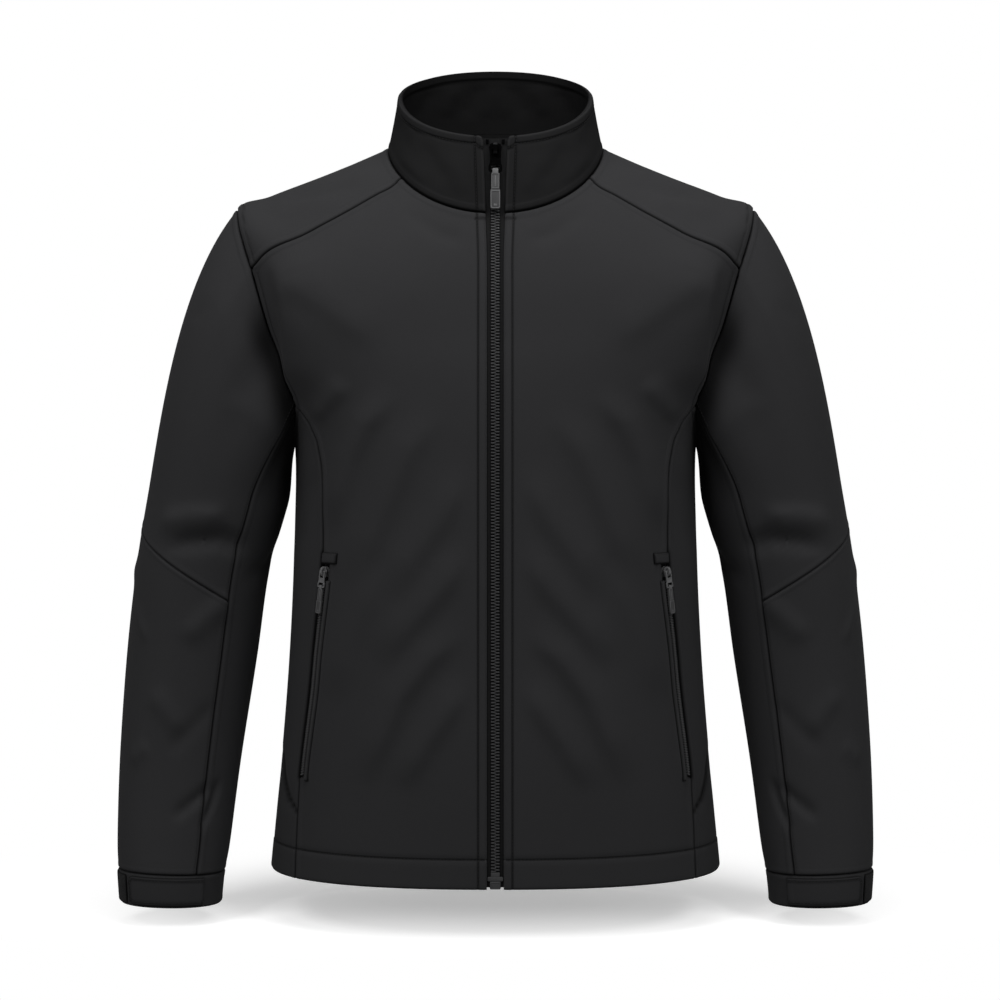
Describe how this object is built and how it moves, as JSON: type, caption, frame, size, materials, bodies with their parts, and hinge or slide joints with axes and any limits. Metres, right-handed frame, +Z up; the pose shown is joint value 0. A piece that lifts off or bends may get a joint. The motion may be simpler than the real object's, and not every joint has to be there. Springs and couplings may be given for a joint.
{
  "type": "softshell jacket",
  "caption": "Plain black zipped softshell jacket with a stand collar, forward yokes, slanting zipped side pockets and tabbed cuffs, standing open at neck, hem and cuffs in its worn form.",
  "frame": {"origin": "middle of the neck opening, level with the side of the neck seam, where the wearer's neck holds the jacket", "axes": "+Z up along the torso, the zipped front faces -Y, +X towards the viewer's right"},
  "size_m": [0.6908, 0.279, 0.7628],
  "materials": {
    "shell_cloth": "matte woven",
    "tape_cloth": "matte woven tape",
    "moulded_zip": "satin",
    "zip_metal": "satin black"
  },
  "bodies": {
    "jacket": {"front_l": "shell_cloth", "front_r": "shell_cloth", "side_l": "shell_cloth", "side_r": "shell_cloth", "yoke_l": "shell_cloth", "yoke_r": "shell_cloth", "back": "shell_cloth", "collar_outer": "shell_cloth", "collar_inner": "shell_cloth", "sleeve_upper_l": "shell_cloth", "sleeve_upper_r": "shell_cloth", "sleeve_forearm_l": "shell_cloth", "sleeve_forearm_r": "shell_cloth", "sleeve_under_l": "shell_cloth", "sleeve_under_r": "shell_cloth", "cuff_l": "shell_cloth", "cuff_r": "shell_cloth", "cuff_tab_l": "shell_cloth", "cuff_tab_r": "shell_cloth", "pocket_welt_l": "shell_cloth", "pocket_welt_r": "shell_cloth", "pocket_tab_l": "shell_cloth", "pocket_tab_r": "shell_cloth", "cuff_strip_l": "tape_cloth", "cuff_strip_r": "tape_cloth", "zip_tape_l": "tape_cloth", "zip_tape_r": "tape_cloth", "pocket_tape_l": "tape_cloth", "pocket_tape_r": "tape_cloth", "zip_chain": "moulded_zip", "zip_box": "moulded_zip", "pocket_chain_l": "moulded_zip", "pocket_chain_r": "moulded_zip", "zip_slider": "zip_metal", "zip_stop_l": "zip_metal", "zip_stop_r": "zip_metal", "pocket_slider_l": "zip_metal", "pocket_slider_r": "zip_metal"},
    "main_pull": {"zip_pull": "zip_metal", "zip_puller": "moulded_zip"},
    "pocket_pull_right": {"pocket_pull_r": "zip_metal", "pocket_puller_r": "moulded_zip"},
    "pocket_pull_left": {"pocket_pull_l": "zip_metal", "pocket_puller_l": "moulded_zip"}
  },
  "joints": [
    {"name": "main_pull_hinge", "type": "hinge", "parent": "jacket", "child": "main_pull", "pos_m": [0, -0.07722, -0.00674], "axis": [-1, 0, 0], "range_deg": [0, 150]},
    {"name": "pocket_pull_right_hinge", "type": "hinge", "parent": "jacket", "child": "pocket_pull_right", "pos_m": [0.15334, -0.09549, -0.3816], "axis": [-0.7052, -0.6979, -0.1252], "range_deg": [0, 150]},
    {"name": "pocket_pull_left_hinge", "type": "hinge", "parent": "jacket", "child": "pocket_pull_left", "pos_m": [-0.15334, -0.09549, -0.3816], "axis": [-0.7052, 0.6979, 0.1252], "range_deg": [0, 150]}
  ]
}
